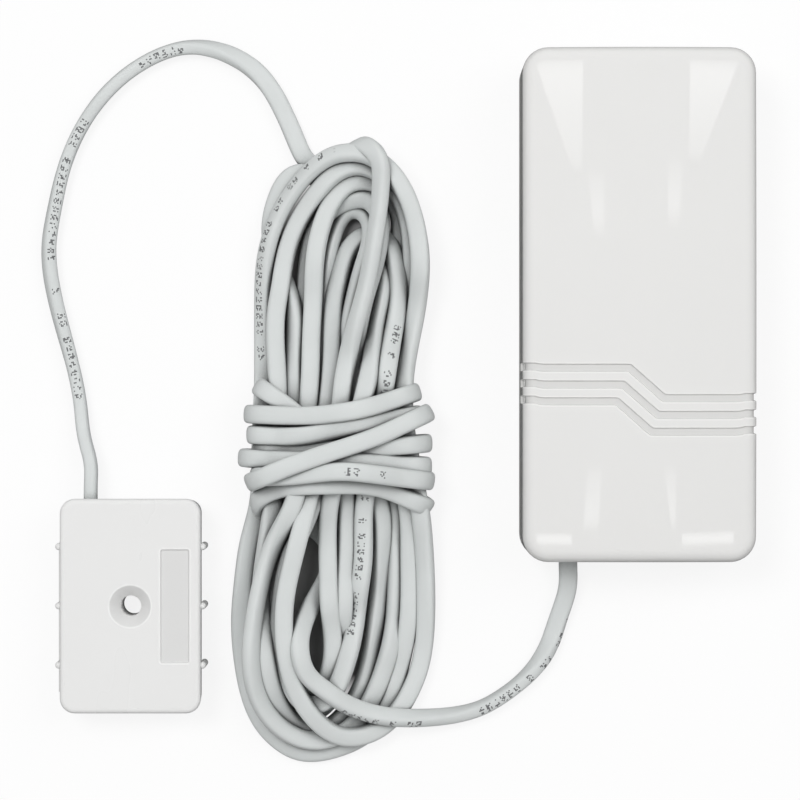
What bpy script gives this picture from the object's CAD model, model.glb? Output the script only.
"""Water leak sensor: the looks of a radio transmitter, its hank of flat cord and its floor probe.

Laid out as an add-on. Sizes are metres unless a name ends in _MM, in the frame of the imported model:
the origin is the middle of the transmitter's back, +Z points away from the table, +Y to its top end.
"""
import math

import bmesh
import bpy
import numpy as np
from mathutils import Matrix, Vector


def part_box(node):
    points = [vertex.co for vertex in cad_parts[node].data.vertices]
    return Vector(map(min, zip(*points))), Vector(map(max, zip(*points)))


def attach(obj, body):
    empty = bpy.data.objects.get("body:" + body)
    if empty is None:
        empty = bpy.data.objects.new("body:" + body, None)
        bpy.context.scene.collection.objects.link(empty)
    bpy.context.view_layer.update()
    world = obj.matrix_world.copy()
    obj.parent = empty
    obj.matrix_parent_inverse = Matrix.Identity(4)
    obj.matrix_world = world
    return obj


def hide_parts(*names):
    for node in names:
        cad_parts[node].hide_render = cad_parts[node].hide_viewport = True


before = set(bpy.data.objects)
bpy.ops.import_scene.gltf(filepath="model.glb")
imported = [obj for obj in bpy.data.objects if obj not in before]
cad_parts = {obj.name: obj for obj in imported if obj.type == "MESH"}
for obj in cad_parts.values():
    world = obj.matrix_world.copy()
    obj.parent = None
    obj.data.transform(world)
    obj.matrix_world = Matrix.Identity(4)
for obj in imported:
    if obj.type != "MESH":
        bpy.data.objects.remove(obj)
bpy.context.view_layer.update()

bl_info = {
    "name": "Water leak sensor",
    "version": (1, 0, 0),
    "blender": (4, 5, 0),
    "location": "View3D > Sidebar > Leak Sensor",
    "description": "Builds the transmitter, the hank of cord and the probe of a water leak sensor",
    "category": "Mesh",
}

MM = 0.001

# The camera stands straight above this point of the table, at the photograph's distance
CAMERA_AT = (-0.0502, -0.02)
CAMERA_HEIGHT = 0.7
CAMERA_LENS = 145.9
CAMERA_SENSOR = 36.0

# The cord's route in millimetres, from the transmitter to the probe. The number before a stretch is its
# place in the order of laying: a higher one lies on top. A point's third number is its least height.

LEAD_MM = [
    (-14.1, -44.25, 3.5), (-14.1, -48.25, 3.5), (-14.1, -56, 3.5), (-14.1, -60, 3.1), (-15.8, -66, 1.45),
    (-18.4, -73.4), (-22.8, -79.4), (-28, -83.6), (-33, -86.4), (-37.4, -87.6),
]
LEAD_OVER_MM = [
    (-45.9, -88.2), (-52.3, -87.8), (-58.7, -86.2), (-63, -84), (-66.4, -81.5), (-69.8, -78.5),
    (-71.3, -74.6), (-71.5, -70.8),
]
HOOK_MM = [(-70, -65.6), (-67.9, -61.8), (-65.3, -56.6), (-65.3, -51.4), (-69.1, -47.3), (-75, -43.6)]

# Turns round the waist, from left to right over the face, in the order of winding
WRAP_FACES_MM = [
    (12.5, [(-81.6, -41.2), (-77.7, -39.5), (-73.5, -38.4), (-65, -38), (-56.6, -38.2), (-51.3, -39.7),
            (-46, -42.2), (-43.2, -43.5)]),
    (13, [(-81.3, -35.9), (-76.7, -36.1), (-72.4, -35.9), (-67.1, -35.3), (-61.9, -35), (-56.6, -35.5),
          (-49.6, -36.5), (-43.6, -37.2)]),
    (12, [(-83.7, -30.6), (-80.3, -32.3), (-77.1, -32.7), (-70.3, -32.9), (-63.5, -32.9), (-56.6, -33.3),
          (-49.6, -33.8), (-44.1, -34)]),
    (11, [(-80.9, -30.2), (-75.6, -30.6), (-69.7, -30.6), (-61.9, -30.4), (-54.4, -30), (-48.1, -29.5),
          (-44.1, -29.1)]),
    (14, [(-83, -38.2), (-77.7, -35.7), (-74.1, -34.2), (-63.5, -30.6), (-53, -26.8), (-47.7, -24.4),
          (-43.8, -23)]),
    (11.5, [(-82.2, -27.4), (-76.7, -27.6), (-70.8, -27.6), (-63.5, -26.1), (-56.6, -24.7), (-49.6, -23.6),
            (-46, -23)]),
    (11.7, [(-82.8, -23.2), (-77.7, -23.2), (-71.4, -23.4), (-63.5, -22.8), (-58.3, -21.9), (-53, -20.4),
            (-46.6, -18.1)]),
]
# Last turn: in from the left, then up the face and over the top end
LAST_FACE_MM = [(-81.2, -18.5), (-77.5, -19.4), (-73.4, -22), (-69.6, -25.2), (-66.2, -26.4)]
FACE_STRAND_MM = [
    (-63.6, -24), (-62.5, -18.5), (-61.7, -13), (-60.4, -6.8), (-58.5, 0.2), (-56.8, 7.2), (-55.5, 15),
    (-54.4, 23.5), (-54.2, 29.9),
]
TUCK_MM = [(-61, 30.4), (-61.9, 27.6), (-64.4, 26.3), (-67.6, 27.3), (-70.6, 28.9)]

# Loops of the hank as one row of stretches, each down its left run, round its lower bend, up its right
# run and over to the next
LOOPS_MM = [
    (2, [(-73.6, 28.2), (-76.3, 24.4), (-77.9, 19), (-77.5, 12), (-75, 5.6), (-73, -0.8), (-72.8, -8.3),
        (-73, -15.7), (-72.8, -29.6), (-75, -43.5), (-77.2, -54.1), (-78.6, -65.2), (-78.8, -73.4),
        (-77.9, -81), (-75, -85.9), (-71.1, -87.6), (-66.8, -86.2), (-63.9, -81.5), (-62.6, -74.4)]),
    (2.6, [(-62.4, -66.9), (-61.7, -54.1), (-61.5, -43.5), (-61.9, -29.6), (-60.7, -15.7)]),
    (5.4, [(-59.2, -5.1), (-57.9, 1.3), (-55.7, 8.8), (-54.5, 15.2), (-54.7, 20.1), (-57, 22.9),
        (-60.4, 23), (-64, 21.6), (-67.4, 18.4), (-69.5, 13.2)]),
    (1.8, [(-70.4, 7), (-70.6, 0), (-70.6, -8), (-70.9, -15.7), (-71.5, -29.6), (-74, -43.5),
        (-76.8, -54.1), (-78.2, -63), (-78.2, -70.5), (-76.6, -77.5), (-73, -82), (-68.2, -82.4),
        (-64.4, -78.6), (-62.6, -72)]),
    (2.5, [(-61.8, -64), (-61.2, -54.1), (-61.6, -43.5), (-62.2, -29.6), (-61.8, -15.7)]),
    (5.3, [(-61.2, -5.1), (-60, 1.3), (-58, 8.8), (-56.5, 14), (-56.6, 17.8), (-58.2, 20.4),
        (-60.9, 20.9), (-63.3, 18.6), (-65, 14)]),
    (2.2, [(-66.2, 8.8), (-66.8, 1.3), (-67.5, -7.2), (-67.9, -15.7), (-69.2, -29.6), (-71.4, -43.5),
        (-75, -54.1), (-77.2, -65.2), (-77.2, -73.4), (-75.6, -79.8), (-73.5, -83.4), (-70.7, -84.4),
        (-67.7, -83.2), (-65.6, -79.3), (-64.5, -73.4)]),
    (4.2, [(-65.1, -65.9), (-65.6, -54.1), (-65.4, -43.5), (-61.3, -29.6), (-57, -15.7), (-56, -9.3),
        (-55.3, -2.9)]),
    (5, [(-54.2, 3), (-54, 7), (-55, 10.4), (-57.7, 11.9)]),
    (2.4, [(-60.4, 10.6), (-61.6, 7), (-62.2, 1.3), (-63, -7.2), (-63.9, -15.7), (-65.6, -29.6),
        (-69.3, -43.5), (-73.8, -54.1), (-75.8, -65.9), (-75.6, -74.4), (-73.5, -81), (-71.1, -84.7),
        (-67.7, -85.3), (-64.7, -83), (-62.2, -77.6), (-60.4, -71.2)]),
    (4.6, [(-59.2, -62.7), (-58.1, -54.1), (-57.9, -43.5), (-55.3, -29.6), (-53.2, -15.7),
        (-51.9, -7.2), (-50.8, -0.8)]),
    (5.2, [(-50.6, 5.6), (-51.5, 10.7), (-53.2, 14.6), (-56, 15.9), (-58.7, 15), (-60.9, 12.9)]),
    (4.8, [(-63, 7.7), (-64.3, 1.3), (-64.7, -7.2), (-65.1, -15.7), (-67.1, -29.6), (-70.2, -43.5),
        (-72.9, -54.1), (-74.4, -61), (-74.9, -67.4)]),
    (7, [(-74.1, -75.5), (-72, -82.3), (-68.1, -88.3), (-63, -91.9), (-57.9, -91.9), (-52.3, -88.7),
        (-48.5, -83.6), (-45.9, -77.2)]),
    (3, [(-44.7, -66.9), (-44.9, -54.1), (-45.9, -43.5), (-48.5, -29.6), (-49.3, -15.7)]),
    (8, [(-47.9, -7.2), (-46.4, 1.3), (-45.9, 10.3), (-46.8, 17.1), (-48.9, 23.5), (-51.5, 27.8),
        (-54.5, 30.8), (-57.2, 32.3), (-60.9, 32.8), (-64.3, 32.3), (-68.1, 30.1), (-72.2, 25.9),
        (-75.8, 20.5), (-78.4, 13.7)]),
    (3, [(-79.4, 7.7), (-79.6, 1.3), (-79.6, -7.2), (-79.6, -15.7), (-80.1, -29.6), (-80.9, -43.5),
        (-82.6, -49.9), (-83.9, -58.4), (-84.6, -66.9)]),
    (4, [(-84.1, -75.5), (-82.6, -83.2), (-80.1, -89.1), (-76.2, -93.4), (-71.5, -95.8), (-67.3, -95.8),
        (-63, -94.7), (-57, -91.5), (-52.8, -85.3), (-50.6, -78.9)]),
    (2.5, [(-48.9, -71.2), (-48.1, -62.7), (-48.1, -54.1), (-48.5, -43.5), (-51.7, -29.6),
        (-51.5, -15.7), (-49.6, -7.2), (-47.9, 1.3)]),
    (7, [(-47.6, 7.7), (-47.9, 14.1), (-49.1, 20.5), (-51.9, 25.9), (-57, 29.7), (-59.6, 30.1),
        (-63, 29.1), (-67.3, 25.2), (-71.5, 19.3), (-74.5, 12)]),
    (3, [(-75.8, 4.5), (-76.7, -0.8), (-76.9, -8.3), (-76.4, -15.7), (-76.4, -29.6), (-77.5, -43.5),
        (-79.2, -54.1), (-79.9, -65.2), (-79, -73.4), (-77.5, -81), (-74.7, -87.4), (-70.5, -91.5),
        (-66.4, -91.1), (-62.6, -88.1), (-59.4, -83.6), (-57.2, -77.6)]),
    (2.8, [(-56, -71.2), (-54.9, -62.7), (-54.3, -54.1), (-54.3, -43.5), (-58.3, -29.6), (-57.5, -15.7),
        (-55.3, -7.2), (-53.4, 1.3), (-52, 7.7), (-50.6, 13.1)]),
    (6, [(-50.2, 18.8), (-51.9, 23.1), (-56.8, 26.7), (-61, 26.4), (-64.2, 23.4), (-66.9, 17.6)]),
    (5.5, [(-68.4, 9.9), (-68.8, 1.3), (-69.2, -7.2), (-69.4, -15.7), (-70.7, -29.6), (-73.4, -43.5),
        (-76.8, -49.9), (-79.6, -58.4), (-81.2, -66.9)]),
    (6, [(-81.8, -75.5), (-80.9, -81.9), (-77.9, -87.9), (-74.1, -91.3), (-69.8, -93), (-65.6, -92.8),
        (-61.7, -91.1), (-58.5, -87.9), (-56, -83.6), (-53.6, -77.6)]),
    (2.4, [(-51.9, -71.2), (-51.1, -62.7), (-50.8, -54.1), (-51.1, -43.5), (-55.1, -29.6),
        (-54.5, -15.7), (-52.3, -7.2), (-50.4, 1.3)]),
    (1, [(-49.3, 8.8), (-49.8, 16.3), (-51.1, 22.7), (-53.6, 28.2), (-57, 31), (-60.8, 31.4),
        (-64.4, 30.2), (-67.6, 29.9), (-70.3, 31.4), (-72, 34.4), (-73.3, 37.6)]),
]
PROBE_LEAD_MM = [
    (-74.8, 41), (-76.9, 45.2), (-80.6, 50.2), (-87, 54.4), (-95, 56), (-105.4, 52.6), (-112.4, 47.2),
    (-118.6, 39), (-122.8, 29), (-124.6, 21), (-125.8, 13), (-125, 4.4), (-123, -4), (-120.8, -12),
    (-119, -21), (-117.8, -29, 3.4), (-116.4, -34, 5.2), (-116.4, -38, 5.85), (-116.4, -41, 6),
    (-116.4, -43.8, 6),
]

CORD_W_MM = 4.0
CORD_T_MM = 2.9
SAMPLE_MM = 1.0
# Places in the order of laying for the stretches that have none beside their points
FLOOR_ORDER = 0
UNDER_ORDER = 1
CROSSING_ORDER = 1.2
TUCK_ORDER = 1.6
FACE_ORDER = 10
LEAD_ORDER = 15

# Laying: half width in which soft strands press on each other, how far a strand evens out its bends, the
# shares of that and of an overlap that one step takes, the sag of a step, the steps with and without
# evening, and the length along a strand within which it doesn't press on itself
PRESS_HALF_MM = 1.9
EVEN_MM = 3.0
EVEN_SHARE = 0.35
PRESS_SHARE = 0.5
SAG_MM = 0.03
LAYING_STEPS = 240
CLOSING_STEPS = 40
NEIGHBOUR_MM = 12.0
# Added to the samples' numbers from run to run, so that samples of two runs are never neighbours
RUN_STEP = 1000
# Reach of a turn round the side of the hank, and reach and direction of the strand over its top end
SIDE_REACH_MM = 5.5
END_REACH_MM = 4.4
END_WAY = (-0.2, 0.98)
UP = np.array([0, 0, 1.0])


def smooth(t):
    """Cubic step from 0 to 1: three t squared less two t cubed, held at both ends."""
    t = np.clip(t, 0, 1)
    return t * t * (3 - 2 * t)


def spline(points, step):
    """Natural cubic spline through the points by chord length, sampled about every step.

    The second derivatives solve the usual tridiagonal system, zero at both ends. Returns the samples
    and the number of the point before each.
    """
    p = np.asarray(points, float)
    h = np.linalg.norm(np.diff(p[:, :2], axis=0), axis=1)
    t = np.concatenate([[0], np.cumsum(h)])
    n = len(p)
    system = np.eye(n)
    i = np.arange(1, n - 1)
    system[i, i - 1] = h[:-1]
    system[i, i] = 2 * (h[:-1] + h[1:])
    system[i, i + 1] = h[1:]
    right = np.zeros_like(p)
    right[1:-1] = 6 * np.diff(np.diff(p, axis=0) / h[:, None], axis=0)
    bend = np.linalg.solve(system, right)
    s = np.linspace(0, t[-1], max(int(round(t[-1] / step)), 2) + 1)
    k = np.clip(np.searchsorted(t, s, side="right") - 1, 0, n - 2)
    a = ((t[k + 1] - s) / h[k])[:, None]
    b = ((s - t[k]) / h[k])[:, None]
    sag = ((a**3 - a) * bend[k] + (b**3 - b) * bend[k + 1]) * h[k][:, None] ** 2 / 6
    return a * p[k] + b * p[k + 1] + sag, k


def unit(vectors):
    """Rows of vectors, each with the length 1."""
    return vectors / np.linalg.norm(vectors, axis=1)[:, None]


def along_line(path):
    """Distance of every point of a line from its start."""
    return np.concatenate([[0], np.cumsum(np.linalg.norm(np.diff(path, axis=0), axis=1))])


def bell(values, sigma):
    """Bell-curve mean along rows of values, mirrored through the end values past the ends."""
    reach = math.ceil(3 * sigma)
    weight = np.exp(-0.5 * (np.arange(-reach, reach + 1) / sigma) ** 2)
    weight /= weight.sum()
    before = 2 * values[0] - values[reach:0:-1]
    after = 2 * values[-1] - values[-2:-reach - 2:-1]
    padded = np.concatenate([before, values, after])
    return np.stack([np.convolve(column, weight, mode="valid") for column in padded.T], 1)


class Run:
    """A length of cord laid from above: samples in plan, order of laying, and height once laid."""

    def __init__(self, stretches):
        points = [(p[0], p[1], p[2] if len(p) > 2 else 0) for _, part in stretches for p in part]
        orders = np.array([order for order, part in stretches for _ in part], float)
        curve, k = spline(points, SAMPLE_MM)
        self.set(curve[:, :2], np.maximum(curve[:, 2], CORD_T_MM / 2), orders[k])

    def set(self, xy, z, order):
        self.xy = xy
        self.z = z
        self.order = order
        self.along = unit(np.gradient(xy, axis=0))

    def keep(self, wanted):
        self.set(self.xy[wanted], self.z[wanted], self.order[wanted])
        return self

    def line(self):
        return np.column_stack([self.xy, self.z])


def evened(z):
    """Heights along a run with its bends evened out."""
    return bell(z[:, None], EVEN_MM / SAMPLE_MM)[:, 0]


def lay(runs):
    """Gives every run its height over the table.

    Two strands that lie across each other in plan, at a distance d, keep apart in height by the thickness
    times the root of 1 - (d / width) squared, the one that was laid later on top. Step by step each pair
    is pressed apart by half of what is missing, every strand sags a little and evens out its bends.
    """
    xy = np.concatenate([run.xy for run in runs])
    least = np.concatenate([run.z for run in runs])
    order = np.concatenate([run.order for run in runs])
    sizes = [len(run.z) for run in runs]
    place = np.arange(len(xy)) + RUN_STEP * np.repeat(np.arange(len(runs)), sizes)
    gap = np.hypot(*(xy[:, None] - xy[None, :]).transpose(2, 0, 1))
    apart = np.abs(place[:, None] - place[None, :]) * SAMPLE_MM > NEIGHBOUR_MM
    same = order[:, None] == order[None, :]
    later = (order[:, None] > order[None, :]) | (same & (place[:, None] > place[None, :]))
    upper, lower = np.nonzero((gap < 2 * PRESS_HALF_MM) & apart & later)
    rise = CORD_T_MM * np.sqrt(1 - (gap[upper, lower] / (2 * PRESS_HALF_MM)) ** 2)
    cuts = np.cumsum(sizes)[:-1]
    z = least.copy()
    for step in range(LAYING_STEPS + CLOSING_STEPS):
        if step < LAYING_STEPS:
            smooth_z = np.concatenate([evened(part) for part in np.split(z, cuts)])
            z = z + EVEN_SHARE * (smooth_z - z) - SAG_MM
        missing = np.maximum(rise - (z[upper] - z[lower]), 0) * PRESS_SHARE
        push = np.zeros(len(z))
        np.maximum.at(push, upper, missing)
        pull = np.zeros(len(z))
        np.maximum.at(pull, lower, missing)
        z = np.maximum(z + push - pull, least)
    for run, part in zip(runs, np.split(z, cuts)):
        run.z = np.maximum(evened(part), run.z)


def turn(start, end, outward, reach, up):
    """Bend from one run's end to another's start, bulging outward, with its flat side's direction.

    Straight out, half a circle, and straight back. On the half circle the share of the way is half of one
    less the cosine, and the bulge is the sine; where the ends are far apart it is half an ellipse of the
    given reach.
    """
    out = np.array([*outward, 0.0])
    radius = min(reach, np.linalg.norm(end - start) / 2)
    t = np.linspace(0, np.pi, int(np.pi * reach / SAMPLE_MM))[1:-1, None]
    share = (1 - np.cos(t)) / 2
    bend = start + (end - start) * share + out * (reach - radius + radius * np.sin(t))
    straight = np.arange(SAMPLE_MM, reach - radius, SAMPLE_MM)[:, None] * out
    path = np.concatenate([start + straight, bend, end + straight[::-1]])
    t = np.concatenate([0 * straight[:, :1], t, 0 * straight[:, :1] + np.pi])
    guide = UP * np.cos(t) * up + out * np.sin(t)
    return path, guide


def cord_path():
    """Middle line of the whole cord in millimetres, and the direction that its flat side faces."""
    lead = Run([(FLOOR_ORDER, LEAD_MM), (LEAD_ORDER, LEAD_OVER_MM), (UNDER_ORDER, HOOK_MM)])
    faces = []
    for order, points in WRAP_FACES_MM + [(FACE_ORDER, LAST_FACE_MM + FACE_STRAND_MM)]:
        run = Run([(order, points)])
        left = run.xy[0, 0] + SIDE_REACH_MM
        right = run.xy[-1, 0] - SIDE_REACH_MM if order != FACE_ORDER else np.inf
        faces.append(run.keep((run.xy[:, 0] > left) & (run.xy[:, 0] < right)))
    unders = []
    for this, following in zip(faces[:-1], faces[1:]):
        crossing = this.xy[-1, 1] - following.xy[0, 1] > CORD_W_MM
        ends = np.stack([this.xy[-1], following.xy[0]])
        unders.append(Run([(CROSSING_ORDER if crossing else UNDER_ORDER, ends)]))
    hank = Run([(TUCK_ORDER, TUCK_MM), *LOOPS_MM, (FLOOR_ORDER, PROBE_LEAD_MM)])
    lay([lead, *faces, *unders, hank])
    paths = [lead.line()]
    guides = [np.tile(-UP, (len(lead.z), 1))]

    def join(run, outward, reach, up):
        path, guide = turn(paths[-1][-1], run.line()[0], outward, reach, up)
        paths.extend([path, run.line()])
        guides.extend([guide, np.tile(-up * UP, (len(run.z), 1))])

    for face, under in zip(faces, [*unders, None]):
        join(face, -face.along[0], SIDE_REACH_MM, -1)
        if under is not None:
            join(under, face.along[-1], SIDE_REACH_MM, 1)
    join(hank, END_WAY, END_REACH_MM, 1)
    return np.concatenate(paths), np.concatenate(guides)


# Mesh helpers


def grid_faces(rows, columns, closed=False):
    """Quads between neighbouring rows and columns; a closed grid joins its last column to its first."""
    r = np.arange(rows - 1)[:, None] * columns
    c = np.arange(columns if closed else columns - 1)[None, :]
    following = (c + 1) % columns
    corners = [r + c, r + following, r + columns + following, r + columns + c]
    return np.stack(np.broadcast_arrays(*corners), -1).reshape(-1, 4)


SHARP_ANGLE = math.radians(50)


def add_mesh(name, points, faces, attributes=None, turn_out=False):
    """New smooth-shaded object at the origin: points in metres, faces as numbers of points, point values.

    Where turn_out is set, the faces of a closed surface are turned to point outwards.
    """
    mesh = bpy.data.meshes.new(name)
    mesh.from_pydata(np.asarray(points), [], [list(map(int, face)) for face in faces])
    if turn_out:
        shell = bmesh.new()
        shell.from_mesh(mesh)
        bmesh.ops.recalc_face_normals(shell, faces=shell.faces)
        shell.to_mesh(mesh)
        shell.free()
    for key, values in (attributes or {}).items():
        layer = mesh.attributes.new(key, "FLOAT", "POINT")
        layer.data.foreach_set("value", np.asarray(values, np.float32).ravel())
    mesh.polygons.foreach_set("use_smooth", np.ones(len(mesh.polygons), bool))
    mesh.update()
    mesh.set_sharp_from_angle(angle=SHARP_ANGLE)
    obj = bpy.data.objects.new(name, mesh)
    bpy.context.scene.collection.objects.link(obj)
    return obj


def give(obj, material):
    """Puts one material on all faces of an object."""
    if not obj.material_slots:
        obj.data.materials.append(material)
    for slot in obj.material_slots:
        slot.material = material


class Solid:
    """Points, faces and surface tones of one solid, collected ring by ring, in millimetres."""

    def __init__(self):
        self.points = []
        self.faces = []
        self.tones = []

    def skin(self, rings, dark=0.0, bright=0.0, capped=False):
        """Joins equal closed rings one to the next; returns the numbers of their points, a row for each."""
        rings = np.asarray(rings, float)
        rows, columns = rings.shape[:2]
        start = sum(map(len, self.points))
        numbers = start + np.arange(rows * columns).reshape(rows, columns)
        self.points.append(rings.reshape(-1, 3))
        tones = np.stack([np.broadcast_to(dark, rows), np.broadcast_to(bright, rows)], 1)
        self.tones.append(np.repeat(tones, columns, axis=0))
        self.faces += list(start + grid_faces(rows, columns, closed=True))
        if capped:
            self.faces += [numbers[0], numbers[-1]]
        return numbers

    def flat(self, outer, holes):
        """Flat face with openings: two polygons that meet on the line through the openings' middles.

        Each ring runs counter-clockwise from the middle of its right side; holes stand from left to right.
        """
        middle = len(outer) // 2
        upper = [*outer[:middle + 1]]
        lower = [*outer[middle:], outer[0]]
        for hole in holes:
            upper += [*hole[len(hole) // 2::-1]]
        for hole in holes[::-1]:
            lower += [hole[0], *hole[:len(hole) // 2 - 1:-1]]
        self.faces += [upper, lower]

    def add(self, name, shift=(0, 0, 0)):
        """The finished object, with its tones as the attributes dark and bright."""
        tones = np.concatenate(self.tones)
        points = (np.concatenate(self.points) + shift) * MM
        attributes = {"dark": tones[:, 0], "bright": tones[:, 1]}
        return add_mesh(name, points, self.faces, attributes, turn_out=True)


# Material helpers


AO_SAMPLES = 4
# Moulded plastic: scale of its unevenness, stretch and scale of the smears in its gloss, how much they
# change its roughness, and the shade of worn lips
UNEVEN_SCALE = 0.045
SMEAR_STRETCH = (1, 0.35, 1)
SMEAR_SCALE = 0.12
SMEAR_ROUGHNESS = (0.88, 1.15)
WORN_SHADE = 1.1
# Plated metal: scales of its brushed lines and its tarnish, depth of the lines and their roughness
BRUSH_SCALE = 3.0
TARNISH_SCALE = 0.35
BRUSH_DEEP_MM = 0.004
BRUSH_ROUGHNESS = (0.75, 1.35)


class Nodes:
    """Short way to build a shader tree: one principled surface and what feeds it."""

    def __init__(self, name):
        self.material = bpy.data.materials.new(name)
        self.material.use_nodes = True
        self.tree = self.material.node_tree
        self.surface = self.tree.nodes["Principled BSDF"]

    def feed(self, socket, value):
        """Links an input to another node's output, or sets its value."""
        if isinstance(value, bpy.types.NodeSocket):
            self.tree.links.new(value, socket)
        else:
            socket.default_value = value

    def node(self, kind, inputs=None, **settings):
        made = self.tree.nodes.new(kind)
        for key, value in settings.items():
            setattr(made, key, value)
        for key, value in (inputs or {}).items():
            self.feed(made.inputs[key], value)
        return made

    def set(self, **inputs):
        """Feeds the surface's inputs, given by their names in small letters."""
        for key, value in inputs.items():
            self.feed(self.surface.inputs[key.replace("_", " ").title()], value)

    def now(self, key):
        """What feeds an input of the surface so far: an output or a value."""
        socket = self.surface.inputs[key]
        return socket.links[0].from_socket if socket.links else socket.default_value

    def show(self, shader):
        """Makes another shader node the material's surface."""
        self.feed(self.tree.nodes["Material Output"].inputs[0], shader.outputs[0])

    def place(self, scale=(1, 1, 1)):
        """Object coordinates in millimetres, stretched by scale."""
        coords = self.node("ShaderNodeTexCoord").outputs["Object"]
        return self.vector("MULTIPLY", coords, tuple(s / MM for s in scale))

    def axes(self):
        """The three object coordinates in millimetres."""
        return self.node("ShaderNodeSeparateXYZ", {0: self.place()}).outputs

    def away(self, x, y):
        """Distance in plan from a point, in millimetres."""
        return self.vector("LENGTH", self.vector("SUBTRACT", self.place((1, 1, 0)), (x, y, 0)))

    def attribute(self, name):
        return self.node("ShaderNodeAttribute", attribute_name=name).outputs["Fac"]

    def noise(self, where, scale, detail=3.0, roughness=0.55):
        made = self.node("ShaderNodeTexNoise", {"Vector": where, "Scale": scale, "Detail": detail,
                                                "Roughness": roughness})
        return made.outputs["Fac"]

    def chance(self, where):
        """A steady random number for each whole place."""
        made = self.node("ShaderNodeTexWhiteNoise", {"Vector": where}, noise_dimensions="3D")
        return made.outputs["Value"]

    def openness(self, reach_mm):
        """Share of the sky that is free of nearby surfaces: 1 in the open, 0 deep in a hollow."""
        made = self.node("ShaderNodeAmbientOcclusion", {"Distance": reach_mm * MM}, samples=AO_SAMPLES)
        return made.outputs["AO"]

    def maths(self, operation, a, b=0.0):
        return self.node("ShaderNodeMath", {0: a, 1: b}, operation=operation).outputs[0]

    def vector(self, operation, a, b=(0, 0, 0)):
        """A vector operation: LENGTH gives a number, the others give a vector."""
        made = self.node("ShaderNodeVectorMath", {0: a, 1: b}, operation=operation)
        return made.outputs["Value" if operation == "LENGTH" else "Vector"]

    def cell(self, value, size):
        """Number of the cell of the given size in which a value lies."""
        return self.maths("FLOOR", self.maths("DIVIDE", value, size))

    def aside(self, value, middle):
        """Distance of a value from its middle."""
        return self.maths("ABSOLUTE", self.maths("SUBTRACT", value, middle))

    def both(self, *masks):
        """Product of masks."""
        share = masks[0]
        for mask in masks[1:]:
            share = self.maths("MULTIPLY", share, mask)
        return share

    def between(self, value, low, high):
        """1 where a value lies between two others, else 0."""
        return self.both(self.maths("GREATER_THAN", value, low), self.maths("LESS_THAN", value, high))

    def fit(self, value, low, high, start=0.3, stop=0.7):
        """Spreads start..stop of a value over low..high."""
        made = self.node("ShaderNodeMapRange", {"Value": value, "From Min": start, "From Max": stop,
                                                "To Min": low, "To Max": high})
        return made.outputs["Result"]

    def blend(self, share, a, b):
        """Mix of two colours, each an output or red, green and blue."""
        made = self.node("ShaderNodeMix", {0: share}, data_type="RGBA")
        for key, value in ((6, a), (7, b)):
            linked = isinstance(value, bpy.types.NodeSocket)
            self.feed(made.inputs[key], value if linked else (*value[:3], 1))
        return made.outputs[2]

    def bump(self, height, distance_mm, strength=1.0):
        made = self.node("ShaderNodeBump", {"Height": height, "Distance": distance_mm * MM,
                                            "Strength": strength})
        self.set(normal=made.outputs[0])

    def overlay(self, mask, colour, metallic=0.0, roughness=0.4):
        """A second finish where the mask is 1."""
        self.set(base_color=self.blend(mask, self.now("Base Color"), colour))
        for key, value in (("Metallic", metallic), ("Roughness", roughness)):
            mixed = self.node("ShaderNodeMix", {0: mask, 2: self.now(key), 3: value})
            self.feed(self.surface.inputs[key], mixed.outputs[0])
        return self


def shade(colour, factor):
    """A colour made lighter or darker by a factor."""
    return tuple(min(c * factor, 1.0) for c in tuple(colour)[:3])


def moulded(name, colour, roughness, grain_mm, grain, uneven, warm=0.0):
    """Moulded plastic: slowly uneven colour, fine spark-eroded grain and faint smears in the gloss."""
    n = Nodes(name)
    slow = n.fit(n.noise(n.place(), UNEVEN_SCALE, detail=9.0, roughness=0.7), 0, 1)
    darker = shade(colour, 1 - uneven)
    aged = (darker[0], darker[1] * (1 - warm / 2), darker[2] * (1 - warm))
    n.set(base_color=n.blend(slow, colour, aged))
    smear = n.noise(n.place(SMEAR_STRETCH), SMEAR_SCALE, detail=1.5)
    n.set(roughness=n.fit(smear, *(roughness * change for change in SMEAR_ROUGHNESS)))
    n.bump(n.noise(n.place(), 1 / grain_mm, detail=2.0), grain)
    return n


def polished(name, colour, roughness, grain_mm, grain, uneven, dust):
    """Moulded plastic with dust in its hollows and bright worn lips, by the attributes dark and bright."""
    n = moulded(name, colour, roughness, grain_mm, grain, uneven)
    dusty = n.blend(n.attribute("dark"), n.now("Base Color"), shade(colour, 1 - dust))
    n.set(base_color=n.blend(n.attribute("bright"), dusty, shade(colour, WORN_SHADE)))
    return n


def metal(name, colour, roughness, brushed, tarnish):
    """Plated metal: fine lines along its brushing, cloudy tarnish and small scratches in the gloss."""
    n = Nodes(name)
    lines = n.noise(n.place(brushed), BRUSH_SCALE, detail=2.0)
    cloud = n.noise(n.place(), TARNISH_SCALE, detail=4.0)
    n.set(base_color=n.blend(n.fit(cloud, 0, 1), colour, shade(colour, 1 - tarnish)), metallic=1.0)
    n.set(roughness=n.fit(lines, *(roughness * change for change in BRUSH_ROUGHNESS)))
    n.bump(lines, BRUSH_DEEP_MM)
    return n


# Cord mesh


SECTION_POINTS = 20
SECTION_POWER = 3.1
PATH_EVEN_MM = 1.2
# Twist of the flat cord in degrees, in the hank and elsewhere, and its waves: share, length and start
HANK_TWIST = 56.0
LEAD_TWIST = 5.0
TWIST_WAVES = ((0.5, 23.0, 0.4), (0.33, 37.0, 2.1), (0.3, 61.0, 4.4))
# The twist of the hank fades above this y and right of this x, each with the length of the change
TOP_FREE_MM = (33.0, 12.0)
RIGHT_FREE_MM = (-42.0, 14.0)
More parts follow.
